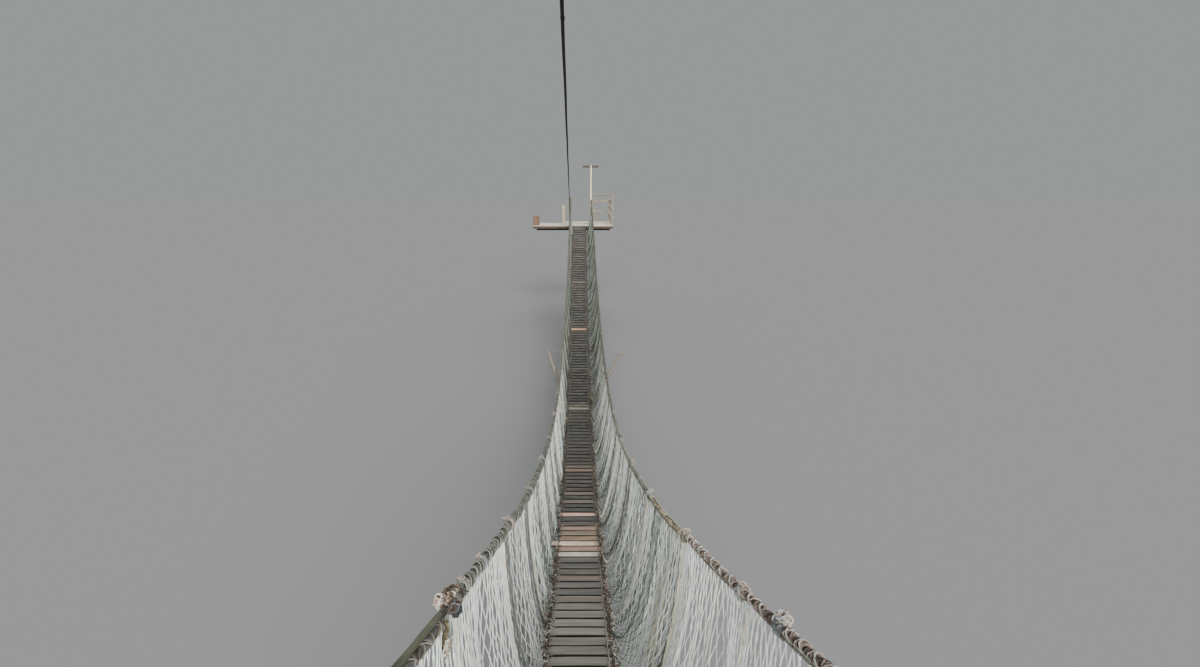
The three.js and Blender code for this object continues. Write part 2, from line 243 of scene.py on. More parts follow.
class Finish:
    """One material, as a Principled surface with nodes in front of it. Each point of a piece
    carries its hue, its place on the piece and a number for the length it was cut from."""

    def __init__(self, name, metallic=0.0, specular=0.5):
        self.material = bpy.data.materials.new(name)
        self.material.use_nodes = True
        self.tree = self.material.node_tree
        self.skin = self.tree.nodes["Principled BSDF"].inputs
        self.skin["Metallic"].default_value = metallic
        self.skin["Specular IOR Level"].default_value = specular
        self.hue, self.place, self.cut = (
            self.node("ShaderNodeAttribute", {"attribute_name": mark}, {}, out)
            for out, mark in enumerate(("hue", "place", "cut")))

    def node(self, kind, settings, sockets, out=0):
        """Any node, with its settings first and then what its sockets get."""
        node = self.tree.nodes.new(kind)
        for key, value in settings.items():
            setattr(node, key, value)
        for key, value in sockets.items():
            self.join(node.inputs[key], value)
        return Value(self, node.outputs[out])

    def join(self, socket, value):
        """Gives a socket a link, or else a plain value."""
        if isinstance(value, Value):
            self.tree.links.new(value.socket, socket)
        else:
            socket.default_value = (*value, 1) if socket.type == "RGBA" else value

    def vectors(self, operation, first, second):
        return self.node("ShaderNodeVectorMath", {"operation": operation}, {0: first, 1: second})

    def shade(self, colour, strength):
        """A colour made lighter or darker, or a vector made longer or shorter."""
        return self.node("ShaderNodeVectorMath", {"operation": "SCALE"},
                         {0: colour, "Scale": strength})

    def axis(self, number):
        """How far along, across or through the piece a point lies from its middle."""
        return abs(self.node("ShaderNodeSeparateXYZ", {}, {0: self.place}, number))

    def noise(self, stretch, detail, rough=0.55, moved=True):
        """Noise stretched along each axis of the piece, and moved on from one cut to the next."""
        place = self.place
        if moved:
            place = self.vectors("ADD", place, self.shade((41.0, 17.0, 9.0), self.cut))
        return self.node("ShaderNodeTexNoise", {},
                         {"Vector": self.vectors("MULTIPLY", place, stretch), "Scale": 1.0,
                          "Detail": detail, "Roughness": rough})

    def blend(self, factor, low, high):
        """Mixes two colours."""
        return self.node("ShaderNodeMix", {"data_type": "RGBA"}, {0: factor, 6: low, 7: high}, 2)

    def finish(self, colour, roughness, height, depth):
        """Joins up the surface; height is its fine relief, which goes as deep as depth."""
        relief = self.node("ShaderNodeBump", {}, {"Distance": depth, "Height": height})
        self.join(self.skin["Base Color"], colour)
        self.join(self.skin["Roughness"], roughness)
        self.join(self.skin["Normal"], relief)
        return self.material


# where a plank's ends and sides get painted shade, and where its sides are darkest, off its middle
shaded_ends, shaded_side = (0.235, 0.318), 0.087


def timber(name, bloom, patches, shade_from=None):
    """Weathered sawn wood: fine grain along the piece, dark checks and a bloom in patches. A
    plank also gets painted shade: darker at its ends, and at its sides from a given distance
    outwards, where the gaps between the planks lie in shade."""
    wood = Finish(name, specular=0.3)
    grain = wood.noise((3.0, 95.0, 95.0), 5.0, 0.62)
    rings = wood.noise((0.9, 17.0, 24.0), 3.0)
    blotch = wood.noise((5.0, 9.0, 9.0), 4.0, 0.6)
    split = wood.noise((1.6, 46.0, 30.0), 2.0, 0.5).between(0.66, 0.71)
    strength = 0.56 + 0.62 * grain.between(0.25, 0.75) * 0.55 + 0.34 * rings.between(0.3, 0.7)
    strength = strength * (1 - 0.55 * split)
    worn = wood.blend(blotch.between(0.42, 0.68) * patches, wood.hue, bloom)
    colour = wood.shade(worn, strength)
    # painted shade at the plank's ends and in the gaps at its sides
    if shade_from:
        colour = wood.shade(colour, 1 - 0.30 * wood.axis(0).between(*shaded_ends))
        colour = wood.shade(colour, 1 - 0.92 * wood.axis(1).between(shade_from, shaded_side))
    relief = grain * 0.5 + rings * 0.5 - split * 1.4
    return wood.finish(colour, 0.72 + 0.24 * blotch, relief, 0.0025)


# the three plank finishes differ only in how far in from the sides the painted shade reaches
plank_finishes = [timber(f"weathered_plank_{kind}", (0.17, 0.165, 0.15), 0.4, shade_from)
                  for kind, shade_from in (("near", 0.076), ("middle", 0.061), ("far", 0.050))]
weathered, browner = np.array([172, 166, 157]), np.array([1.0, 0.0, -0.9])
# how bright the weathered planks are along the deck, which is painted shade, and the newer
# planks' own colours
plank_shade_at, plank_shade = (0, 30, 54, 90, 120, 152), (0.76, 0.74, 0.48, 0.33, 0.35, 0.43)
new_planks = {
    49: (212, 182, 164), 46: (160, 136, 120), 45: (142, 128, 112), 44: (156, 134, 112),
    43: (240, 214, 194), 42: (166, 140, 124), 41: (206, 196, 184), 52: (124, 114, 104),
    54: (116, 106, 98), 60: (128, 110, 100), 61: (108, 98, 90), 79: (138, 128, 116),
    80: (92, 88, 80), 108: (176, 136, 114), 127: (98, 94, 86),
}
# two planks stick out under the left-hand net, by so many metres, and one has slipped a little,
# by a part of the step from plank to plank
longer, slipped = {43: 0.120, 49: 0.040}, {29: -0.06}
rng = np.random.default_rng(21)
first = 0
for number, count in enumerate(panels, 1):
    deck = Stock()
    for plank in range(first * planks_per_bay, (first + count) * planks_per_bay):
        # the weathered planks get darker along the deck with painted shade
        seen = weathered * np.interp(plank, plank_shade_at, plank_shade) * (1 + 0.085 * rng.normal())
        seen = new_planks.get(plank, seen + browner * rng.normal(0, 2.2))
        length, width, thick = plank_size
        length += rng.uniform(-0.014, 0.004) + longer.get(plank, 0)
        width += rng.uniform(-0.006, 0.004)
        aside = rng.normal(0, 0.004) - longer.get(plank, 0) / 2
        step = plank + 0.5 + rng.normal(0, 0.010) + slipped.get(plank, 0)
        point, along, normal = deck_at(step / planks_per_bay)
        middle = point - normal * (thick / 2 + abs(rng.normal(0, 0.0015))) + (aside, 0, 0)
        turn = rng.normal(0, 0.006)
        side = np.array([math.cos(turn), math.sin(turn) * along[1], math.sin(turn) * along[2]])
        board(deck, middle, side, np.cross(normal, side), (length, width, thick), rng,
              paint(*seen))
    deck.piece(f"deck_planks_{number}", plank_finishes[min(number - 1, 4) // 2], "deck_board",
               f"deck_{number}")
    first += count

# The deck's edges. A pale cord is laced over the right-hand ends of the planks. Outside the
# ends each net's foot rope is lashed down to the deck cable with dark cord, its ends left loose.
both_sides = ((-1, "left"), (1, "right"))
lacing_out, lacing_radius, foot_out, foot_drop = 0.284, 0.0062, 0.3175, 0.015
# the lashings go round the middle between the foot rope and the deck cable
lash_out, lash_drop, lash_radius = 0.2945, 0.031, 0.0038


def unit(vectors):
    """The same directions, each of length 1."""
    return vectors / np.linalg.norm(vectors, axis=-1, keepdims=True)


def sweep(stock, paths, radius, sides, guide, hue, cut=0.5, lobes=0, lay=0.0):
    """Rope or cord along each of the paths. lobes is the number of strands laid up in it, and
    lay the length in which they go round once. A single path can change colour on its way."""
    if paths.ndim == 2:
        paths, hue = paths[None], np.broadcast_to(hue, paths.shape)[None]
    tangent = unit(np.gradient(paths, axis=1))
    side = unit(np.cross(tangent, np.broadcast_to(guide, paths.shape)))
    up = np.cross(side, tangent)
    steps = np.linalg.norm(np.diff(paths, axis=1), axis=-1)
    run = np.insert(np.cumsum(steps, 1), 0, 0, axis=1)[..., None]
    share = np.arange(sides) / sides
    angle = 2 * math.pi * (share + (run / lay if lay else 0 * run))
    size = np.broadcast_to(radius, paths.shape[:2])[..., None]
    if lobes:
        size = size * (0.87 + 0.13 * np.cos(2 * math.pi * lobes * share))
    out = np.cos(angle)[..., None] * side[:, :, None] + np.sin(angle)[..., None] * up[:, :, None]
    place = np.stack([run + 0 * angle, np.cos(angle), np.sin(angle)], -1)
    stock.add(paths[:, :, None] + size[..., None] * out, place, cut, hue)


def off_deck(bay, x, lift):
    """A place off the deck's middle line: x to the right of it, and lifted off its top."""
    point, _, normal = deck_at(bay)
    place = point + normal * np.asarray(lift)[..., None]
    place[..., 0] += x
    return place


def wind(bay, at, reach, pitch, phase, squash=1.0, hand=1):
    """Turns of cord round one line that runs with the deck, and the way out from the line."""
    angle = hand * 2 * math.pi * bay * bay_length / pitch + phase
    out = np.sin(angle)[:, None] * deck_at(bay)[2] * squash
    out[:, 0] += np.cos(angle)
    return at + out * np.reshape(reach, (-1, 1)), out


def cordage(name, fibre, dirt, depth=0.0012):
    """Weathered rope: colour that changes along it, fibres that turn round it, dirt in the lay."""
    rope = Finish(name)
    soiled = rope.noise((3.5, 0.35, 0.35), 4.0, 0.65)
    fine = rope.noise((60.0, 2.5, 2.5), 3.0, 0.6)
    strength = 1 - dirt * soiled.between(0.40, 0.72) + fibre * (fine - 0.5)
    green = rope.blend(soiled.between(0.5, 0.8) * 0.35, rope.hue, paint(96, 104, 78))
    return rope.finish(rope.shade(green, strength), 0.8 + 0.18 * fine, fine, depth)


rope_finish = cordage("weathered_rope", 0.25, 0.5)
lashing_finish = cordage("dark_lashing", 0.4, 0.45)
rng = np.random.default_rng(33)

lacing = Stock()
bay = np.linspace(0.03, bays - 0.03, 900)
wander = 0.004 * np.sin(bay * 31) + 0.003 * np.sin(bay * 57 + 1)
lift = 0.0065 + 0.0012 * np.sin(bay * 2 * math.pi * planks_per_bay)
# painted shade: the lacing cord gets darker along the deck from the third bay on
tone_and_shade = np.interp(bay, (3, 5, 9), (1, 0.5, 0.2))[:, None]
sweep(lacing, off_deck(bay, lacing_out + wander, lift), lacing_radius, 6, (1, 0, 0),
      paint(150, 148, 138) * tone_and_shade)
lacing.piece("lacing_cord", rope_finish, "rope")

# the loose cords: how many, their lowest and highest roots, reach, radius and colour
loose_cords = ((1100, -0.026, 0.008, 0.034, 0.0052, (70, 60, 54)),
               (700, -0.020, 0.012, 0.032, 0.0046, (136, 108, 96)),
               (800, -0.020, 0.014, 0.032, 0.0036, (186, 182, 172)))
for side, word in both_sides:
    edge = Stock()
    # one cord wound along the foot rope
    bay = np.linspace(0.01, bays - 0.01, 2400)
    uneven = 0.013 + 0.004 * np.sin(bay * 41) + 0.003 * np.sin(bay * 97)
    line = off_deck(bay, side * (foot_out + 0.004 * np.sin(bay * 23)), -foot_drop)
    path, out = wind(bay, line, uneven, 0.080, 0.7)
    sweep(edge, path, lash_radius, 3, out, paint(84, 78, 68), 0.3)
    # two turns through every gap between planks, round the foot rope and the deck cable
    gap = np.arange(1, bays * planks_per_bay)[:, None] / planks_per_bay
    turn = np.linspace(0, 2 * math.pi, 8)
    for shift in (-0.0045, 0.0045):
        jitter = rng.normal(0, 0.0020, gap.shape)
        x = side * (lash_out + 0.046 * np.cos(turn)) + jitter
        lift = -lash_drop + 0.034 * np.sin(turn) - 0.016 * np.cos(turn) + jitter
        line = off_deck(gap + shift / bay_length + 0 * turn, x, lift)
        centre = off_deck(gap + 0 * turn, side * lash_out, -lash_drop)
        sweep(edge, line, lash_radius, 3, line - centre + (0, 1e-4, 0), paint(96, 88, 76),
              rng.random(len(gap)))
    # bights and loose ends of the cords that tie the net down, dark, reddish and pale
    for count, low, high, size, thick, seen in loose_cords:
        where = 0.02 + (bays - 0.04) * rng.random(count) ** 1.35
        root = off_deck(where, side * (foot_out + rng.uniform(-0.036, 0.052, count)),
                        rng.uniform(low, high, count))
        lean = unit(np.stack([side * rng.uniform(-0.9, 1.0, count), rng.normal(0, 0.8, count),
                              rng.uniform(-0.5, 1.0, count)], -1))
        turned = unit(lean + rng.normal(0, 0.9, (count, 3)))
        fall = unit(turned + rng.normal(0, 0.7, (count, 3)) + (0, 0, -0.9))
        reach = 0.6 * rng.uniform(0.5, 1.1, count)[:, None] * size
        ends = np.stack([root, root + lean * reach, root + (lean + turned) * reach,
                         root + (lean + turned + fall) * reach], 1)
        tone = paint(*seen) * rng.uniform(0.7, 1.3, (count, 1))
        # painted shade along the bridge: the cords are lighter in the first bays, half as bright
        # past the ninth
        tone = tone * np.interp(where, (2.8, 4, 9), (1.25, 1.0, 0.5))[:, None]
        tone = tone * ((1, 1, 1) if side > 0 else (0.94, 1.06, 1.12))
        sweep(edge, ends, thick, 3, (0.3, 0.2, 1), tone, rng.random(count))
    edge.piece(f"edge_lashing_{word}", lashing_finish, "rope")

# The deck cables. Two galvanised wire ropes, six strands laid up together, run under the
# plank ends from one platform's front joist to the other's and carry the whole deck.
cable_out, cable_drop, cable_radius, cable_past = 0.270, 0.0463, 0.0165, 0.019
wire = Finish("galvanised_wire", metallic=0.8)
zinc = wire.noise((9.0, 0.8, 0.8), 4)
wire_colour = wire.blend(zinc.between(0.42, 0.7), paint(112, 114, 112), paint(92, 66, 46))
wire_finish = wire.finish(wire_colour, 0.42 + 0.4 * zinc, zinc, 0.0006)
for side, word in both_sides:
    cable = Stock()
    bay = np.linspace(0, bays, 520)
    line = off_deck(bay, side * cable_out, -cable_drop)
    past = deck_at(bay)[1] * cable_past
    line = np.vstack([line[0] - past[0], line, line[-1] + past[-1]])
    sweep(cable, line, cable_radius, 12, (1, 0, 0), paint(112, 114, 112), lobes=6, lay=0.21)
    cable.piece(f"wire_rope_{word}", wire_finish, "steel_cable", f"deck_cable_{word}")

# The handrails. Thick natural-fibre rope, three strands laid up together, grey with age. They
# stand wide at the near end, draw in towards the far one, and end tied in to the posts.
rail_height, rail_radius, big_knot, post_gap = 1.280, 0.019, 2.56, 0.030


def before(bay, place, run):
    """1 well before a place, 0 well past it."""
    return 1 / (1 + np.exp((bay - place) / run))


def spread(bay, side):
    """How far a handrail stands out from the deck's middle line."""
    near = np.exp(-(((bay - 0.9) / 3.6) ** 2))
    far = (bay / bays) ** 8
    if side > 0:
        return 0.720 + 0.410 * near + 0.035 * before(bay, 3.67, 0.08) - 0.110 * far
    drawn_in = 0.025 * before(bay, 4.0, 0.08) + 0.050 * before(bay, 12.7, 0.6)
    return 0.462 + 0.325 * near + drawn_in - 0.047 * far


def rail_at(bay, side, sink=0.0):
    """The handrail's middle line, or a line sunk below it."""
    point, _, normal = deck_at(bay)
    point[..., 0] += side * spread(bay, side)
    point[..., 2] += rail_height
    return point - normal * np.asarray(sink)[..., None]


def to_posts(line):
    """Runs a rope level into the faces of the posts."""
    first, last = line[0].copy(), line[-1].copy()
    first[1], last[1] = near_edge - post_gap, far_edge + post_gap
    return np.vstack([first, line, last])


for side, word in both_sides:
    rail = Stock()
    bay = np.linspace(0, bays, 1000)
    line = rail_at(bay, side)
    line[:, 0] += 0.0022 * np.sin(bay * 17 + side) * np.sin(bay * 3.1)
    line[:, 2] += 0.0022 * np.sin(bay * 13 + 2)
    line = to_posts(line)
    bulge = rail_radius * np.pad(1.0 + 0.035 * np.sin(bay * 23 + side), 1, constant_values=1)
    seen = paint(70, 58, 50) if side > 0 else paint(84, 82, 70)
    old = 0
    if side < 0:
        # near the camera the left one is a newer, smooth rope, which ends inside the big knot
        joint = int(1000 * (big_knot - 0.10) / bays)
        sweep(rail, line[:joint], bulge[:joint] * 1.02, 12, (1, 0, 0), paint(90, 91, 76))
        old = joint - 1
    sweep(rail, line[old:], bulge[old:], 10, (1, 0, 0), seen, lobes=3, lay=0.15)
    rail.piece(f"handrail_rope_{word}", rope_finish, "rope", f"handrail_{word}")

# The nets' head ropes. A thinner pale rope is threaded through the top of each net and tied up
# to the handrail once a bay; between the ties it hangs a little below it.
head_radius, head_gap, head_dip, first_knot = 0.012, 0.0003, 0.020, 0.6


def head_at(bay, side):
    """The head rope's middle line."""
    dip = head_dip * np.abs(np.sin(math.pi * (bay - first_knot)))
    return rail_at(bay, side, rail_radius + head_radius + head_gap + dip)


for side, word in both_sides:
    head = Stock()
    bay = np.linspace(0, bays, 1000)
    # painted shade: the head rope gets darker along the bridge from the fourth bay on
    tone_and_shade = np.interp(bay, (3.4, 4.4, 7, 9.5, 12), (1, 0.5, 0.36, 0.24, 0.22))
    seen = paint(204, 199, 182) if side > 0 else paint(132, 129, 114)
    sweep(head, to_posts(head_at(bay, side)), head_radius, 8, (1, 0, 0),
          seen * np.pad(tone_and_shade, 1, "edge")[:, None], lobes=3, lay=0.10)
    head.piece(f"head_rope_{word}", rope_finish, "rope", f"net_head_rope_{word}")

# The handrail lashings. Grey and brownish cords are wound over each handrail, and over the net's
# head rope too where both are bound together. Every tie is a lump of hitches with loose ends.
def loops(stock, heart, count, size, thick, seen, rng, out):
    """A lump of hitches: closed turns of cord round one another."""
    turn = np.linspace(0, 2 * math.pi, 12)
    for loop in range(count):
        axis = unit(rng.normal(0, 1, 3))
        other = unit(np.cross(axis, (0.3, 0.5, 0.8)))
        third = np.cross(axis, other)
        wide, tall = size * rng.uniform(0.40, 1.35, 2)
        bent = turn + 0.7 * np.sin(2 * turn + rng.random() * 6)
        ring = wide * np.cos(bent)[:, None] * other + tall * np.sin(turn)[:, None] * third
        ring = ring + 0.6 * size * np.sin(2 * turn + rng.random() * 6)[:, None] * axis
        middle = heart + np.asarray(out) * rng.uniform(0.2, 1.0) + rng.normal(0, size * 0.3, 3)
        tone = paint(*seen[rng.integers(len(seen))]) * rng.uniform(0.8, 1.1)
        sweep(stock, middle + ring, thick, 5, axis, tone, rng.random())


def hanging_ends(stock, heart, count, seen, side, rng):
    """Loose ends, about 50 mm long, that stand out a little and then fall."""
    t = np.linspace(0, 1, 6)[:, None]
    for tail in range(count):
        start = heart + rng.normal(0, 0.010, 3)
        away = unit(np.array([side * rng.uniform(-0.3, 0.8), rng.normal(0, 0.7), 0.4]))
        far = 0.05 * rng.uniform(0.6, 1.2)
        path = start + away * far * t * (1.6 - 0.7 * t)
        path[:, 2:] -= 1.5 * far * t**2.2
        tone = paint(*seen[tail % len(seen)]) * rng.uniform(0.8, 1.1)
        sweep(stock, path, 0.0036, 4, (1, 0.3, 0.2), tone, rng.random())


def lumpy(bay):
    """How cloth bound along a rope swells and shrinks, from about -1 to 1."""
    return 0.6 * np.sin(bay * 37) + 0.4 * np.sin(bay * 83 + 1)


def sleeve(stock, side, begin, end, sink, thick, rough, seen, stations):
    """Cloth or old rope bound along under the handrail in one lumpy length."""
    bay = np.linspace(begin, end, stations)
    taper = np.clip(np.minimum(bay - begin, end - bay) / 0.05 + 0.55, 0, 1)
    mottle = 1 + 0.5 * np.sin(bay * 47) * np.sin(bay * 19 + 1) + 0.25 * np.sin(bay * 131)
    sweep(stock, rail_at(bay, side, sink), (thick + rough * lumpy(bay)) * taper, 12, (1, 0, 0),
          paint(*seen) * mottle[:, None], 0.7, lobes=3, lay=0.8)


def wad(stock, heart, along, half, thick, seen):
    """A wad of cloth, or a dark wad of painted shadow, along the rail, thickest in its middle."""
    way = np.linspace(-1, 1, 15)
    size = thick * np.sqrt(1.02 - way**2) + 0.004 * np.sin(way * 11)
    mottle = 1 + 0.30 * np.sin(way * 14)
    sweep(stock, heart + way[:, None] * half * along, size, 12, (1, 0, 0),
          paint(*seen) * mottle[:, None], lobes=4, lay=0.5)


# each winding: begin, end, pitch, lead, hand, reach, cord radius, sides, sink, tallness, colour
windings = {
    1: [(0.02, 3.55, pitch, lead, hand, reach, thick, sides, 0.0, 1.0, seen)
        for pitch, lead, hand, reach, thick, sides, seen in (
            (0.058, 0.0, 1, 0.0222, 0.0056, 3, (196, 190, 180)),
            (0.058, 1.05, 1, 0.0222, 0.0056, 3, (152, 144, 136)),
            (0.058, 2.10, 1, 0.0222, 0.0056, 3, (188, 184, 172)),
            (0.058, 3.00, 1, 0.0222, 0.0056, 3, (166, 144, 134)),
            (0.118, 0.4, -1, 0.0250, 0.0042, 3, (190, 164, 154)),
            (0.186, 1.3, -1, 0.0265, 0.0058, 4, (206, 210, 200)),
            (0.161, 2.6, 1, 0.0280, 0.0050, 4, (206, 196, 186)),
            (0.243, 0.2, 1, 0.0275, 0.0048, 3, (96, 78, 68)))] + [
        (3.60, 4.60, 0.310, 0.4, 1, 0.0330, 0.0046, 4, 0.020, 1.0, (176, 168, 148)),
        (4.60, 18.98, 0.060, 0.0, 1, 0.0240, 0.0088, 5, 0.011, 1.35, (128, 124, 112)),
        (4.60, 18.98, 0.100, 0.9, -1, 0.0315, 0.0064, 3, 0.011, 1.30, (196, 196, 184))],
    -1: [(2.60, 7.0, 0.043, 0.0, 1, 0.0225, 0.0115, 6, 0.015, 1.50, (104, 104, 90)),
         (2.57, 7.0, 0.131, 1.0, -1, 0.0335, 0.0050, 3, 0.015, 1.45, (176, 176, 164)),
         (2.57, 7.0, 0.097, 2.0, 1, 0.0345, 0.0048, 3, 0.015, 1.45, (206, 208, 198)),
         (2.57, 7.0, 0.073, 0.7, -1, 0.0340, 0.0042, 3, 0.015, 1.45, (190, 196, 186)),
         (7.0, 18.98, 0.060, 0.0, 1, 0.0225, 0.0100, 5, 0.015, 1.45, (112, 112, 98)),
         (7.0, 18.98, 0.090, 0.9, -1, 0.0325, 0.0074, 3, 0.015, 1.45, (208, 210, 200))],
}
# bays, and how much darker the windings are there, as painted shade along the bridge
dulling = {1: ((4.5, 4.7, 6.5, 7.5, 9.5), (1, 0.60, 0.56, 0.34, 0.22)),
           -1: ((2.6, 3.5, 4.7, 6.0, 9.0), (0.48, 0.45, 0.34, 0.27, 0.25))}
# the cords on the left lie less evenly
looseness, slack = {1: 1, -1: 2.4}, {1: 0.6, -1: 1.2}
far_ties = [bay + first_knot for bay in range(7, bays)]
ties = {1: [0.6, 1.5, 2.31, 2.69, 3.57, 4.58, 5.57, 6.5] + far_ties,
        -1: [0.6, 1.6, 2.75, 3.1, 3.86, 4.7, 5.73, 6.54] + far_ties}
stout_ties = (2.31, 4.58, 3.86, 5.57, 5.73)
tie_pitch, tie_radius, tie_sink, tie_reach = 0.0105, 0.0062, 0.014, {1: 0.0345, -1: 0.0385}
cord_tones = ((156, 156, 150), (128, 134, 136), (172, 156, 146), (148, 142, 126))
# the big knot's curls: how far along they reach and at how many places, loops at each, their
# size and radius, their colours, where their middle lies off the rail, and which way they lean
curl_tones = ((236, 224, 208), (190, 166, 156), (216, 208, 194), (150, 126, 108),
              (150, 138, 128), (84, 72, 66))
curls = ((-0.085, 0.135, 9, 4, 0.0215, 0.0080, curl_tones, (-0.008, 0, 0.008),
          (-0.042, -0.010, 0.034)),
         (-0.090, 0.150, 7, 3, 0.0220, 0.0066, curl_tones[2:], (0.004, 0, 0.030),
          (-0.010, 0, 0.012)),
         (-0.150, 0.120, 6, 2, 0.0220, 0.0046, curl_tones[3:], (0.040, 0, 0.004),
          (0.014, -0.010, 0.012)))
# the strands of two hanks that hang before it: place across and along, radius and colour
hank_bay = 2.42
olive_hank = ((0.032, -0.034, 0.0105, (92, 87, 62)), (0.020, -0.040, 0.0095, (78, 68, 50)),
              (0.044, -0.026, 0.0085, (106, 100, 76)), (0.030, -0.020, 0.0080, (86, 80, 60)))
pale_hank = ((0.056, -0.026, 0.0105, (226, 218, 200)), (0.070, -0.010, 0.0095, (206, 200, 182)),
             (0.046, -0.034, 0.0090, (214, 204, 188)), (0.064, -0.044, 0.0080, (190, 180, 162)))
# the cords over the dark cloth: hand, pitch, phase and colour
cloth_cords = ((1, 0.150, 0.0, (138, 136, 126)), (-1, 0.230, 1.0, (126, 124, 118)),
               (1, 0.330, 2.2, (118, 104, 92)), (-1, 0.410, 0.3, (150, 150, 142)))
for side, word in both_sides:
    lashing = Stock()
    rng = np.random.default_rng(50 + side)
    for begin, end, pitch, lead, hand, reach, thick, sides, sink, tall, seen in windings[side]:
        points_a_turn = 7 if end > 9 else 9
        bay = np.linspace(begin, end, int((end - begin) * bay_length / pitch * points_a_turn))
        uneven = 0.0015 * np.sin(bay * 29 + lead) + 0.0013 * np.sin(bay * 71)
        slip = slack[side] * np.sin(bay * 11 + hand) + lead
        slip = slip + 30 * pitch**2 * np.sin(bay * 5.3 + 3 * lead)
        path, out = wind(bay, rail_at(bay, side, sink), reach + looseness[side] * uneven, pitch,
                         slip, tall, hand)
        mottle = 1 + 0.28 * np.sin(bay * 61 + 5 * lead) * np.sin(bay * 23 + lead)
        # painted shade along the bridge, times a mottle of the cords' own tone
        tone_and_shade = np.interp(bay, *dulling[side]) * mottle
        sweep(lashing, path, thick, sides, out, paint(*seen) * tone_and_shade[:, None], rng.random())
    for middle in ties[side]:
        # tight turns round handrail and head rope together
        turns = rng.integers(5, 9)
        half = turns * tie_pitch / bay_length / 2
        bay = np.linspace(middle - half, middle + half, turns * 9)
        swell = 1 + 0.10 * rng.normal(0, 1, bay.shape)
        # painted shade: the ties get darker along the bridge
        tie_shade = np.interp(middle, (3, 7, 10), (1.05, 0.85, 0.66))
        tones = [tie_shade * np.array(cord_tones[tone]) for tone in rng.permutation(4)]
        path, out = wind(bay, rail_at(bay, side, tie_sink), tie_reach[side] * swell, tie_pitch,
                         rng.random() * 6, 1.25)
        sweep(lashing, path, tie_radius, 4, out, paint(*tones[0]), rng.random())
        # the lump over them stands a little outside the rail
        stout = middle in stout_ties
        outer = 0.004 if side > 0 else -0.014 if stout else -0.009
        count, size, thick = (9, 0.030, 0.0085) if stout else (5, 0.024, 0.0072)
        heart = rail_at(middle + rng.normal(0, 0.01), side) + (outer, 0, 0.024)
        loops(lashing, heart, count, size, thick, tones, rng, (1.25 * outer, 0, 0.022))
        if stout:
            wad(lashing, heart - (side * 0.010, 0, 0.020), deck_at(middle)[1], 0.070, 0.036,
                (112, 120, 124))
        hanging_ends(lashing, heart, 3 if middle < 7 else 2, tones, side, rng)
    if side > 0:
        sleeve(lashing, side, 3.61, 4.55, 0.013, 0.0320, 0.0015, (178, 168, 142), 62)
    else:
        # the big knot: curls of thick cream and pink cord that stand off a wad of grey cloth
        heart, along = rail_at(big_knot, side), deck_at(big_knot)[1]
        wad(lashing, heart + (0.026, 0, -0.014), along, 0.150, 0.047, (96, 103, 108))
        # a darker wad below it is painted shadow under the knot
        wad(lashing, heart + (0.050, 0, -0.056) - along * 0.040, along, 0.090, 0.026, (62, 62, 64))
        for low, high, places, count, size, thick, tones, off, out in curls:
            for step in np.linspace(low, high, places):
                loops(lashing, heart + along * step + off, count, size, thick, tones, rng, out)
        # an olive hank and a pale one hang from it, on the walkway's side
        t = np.linspace(0, 1, 16)[:, None]
        lower = rail_at(hank_bay, side)
        for x, y, thick, seen in olive_hank:
            fall = np.hstack([0.004 * np.sin(t * 17 + x * 90) - 0.016 * t, y * t, -0.20 * t])
            mottle = 1 + 0.5 * np.sin(t * 19 + x * 400)
            sweep(lashing, lower + (x + 0.006, 0, -0.040) + fall, thick * (1.05 - 0.35 * t[:, 0]),
                  7, (1, 0, 0.1), paint(*seen) * mottle, rng.random(), lobes=3, lay=0.09)
        for x, y, thick, seen in pale_hank:
            fall = np.hstack([0.006 * np.sin(t * 11 + x * 90) - 0.130 * t, 0.020 * t, -0.42 * t])
            sweep(lashing, lower + (x, y, -0.150) + fall, thick * (1.05 - 0.25 * t[:, 0]),
                  7, (1, 0, 0.1), paint(*seen), rng.random(), lobes=3, lay=0.09)
        # before the knot the head rope is bundled up in dark cloth, with cord wound over it
        sleeve(lashing, side, 0.04, big_knot - 0.10, 0.062, 0.0290, 0.0075, (114, 108, 108), 175)
        for hand, pitch, phase, seen in cloth_cords:
            bay = np.linspace(0.06, big_knot - 0.12, int(40 / pitch))
            path, out = wind(bay, rail_at(bay, side, 0.060), 0.0315 + 0.006 * lumpy(bay), pitch,
                             phase, 1, hand)
            sweep(lashing, path, 0.0048, 4, out, paint(*seen), rng.random())
    lashing.piece(f"rail_lashing_{word}", rope_finish, "rope")

# The nets. Fishing net of pale cord, hung from the head rope and laced to the foot rope. It is
# drawn out tall, falls in folds and bellies below the deck; from the fourth bay on it is double.
spreader_bay, foot_lean = 10, 1.1
# for each panel: meshes from foot to head, cords to a bay, and sides of a cord
net_grades = [(20, 46, 4), (20, 46, 4), (15, 44, 4), (15, 44, 3), (12, 38, 3), (12, 36, 3),
              (12, 36, 3)]
# where the outer net begins
doubled = {1: 3.58, -1: 3.70}
# how much darker the cords are, from foot to head, and then from bay to bay as painted shade
low_v, low_tone = (0, 0.35, 0.55, 0.70), {1: (0.48, 0.46, 0.66, 1), -1: (0.6, 0.7, 0.9, 1)}
far_bay, net_far_shade = (8.5, 10.5, 12, 17, 19), (1, 0.50, 0.28, 0.32, 0.50)
# the cords of the tangle at the foot: how many to a bay, reach, radius and colour
foot_tangle = ((40, 0.15, 0.0058, (72, 62, 54)), (32, 0.14, 0.0052, (140, 114, 100)),
               (36, 0.20, 0.0042, (204, 202, 190)))
foot_radius, hanger_radius, cord_radius = 0.007, 0.0070, {4: 0.0045, 3: 0.0053}
net_guide = (0, 1, 0.01)


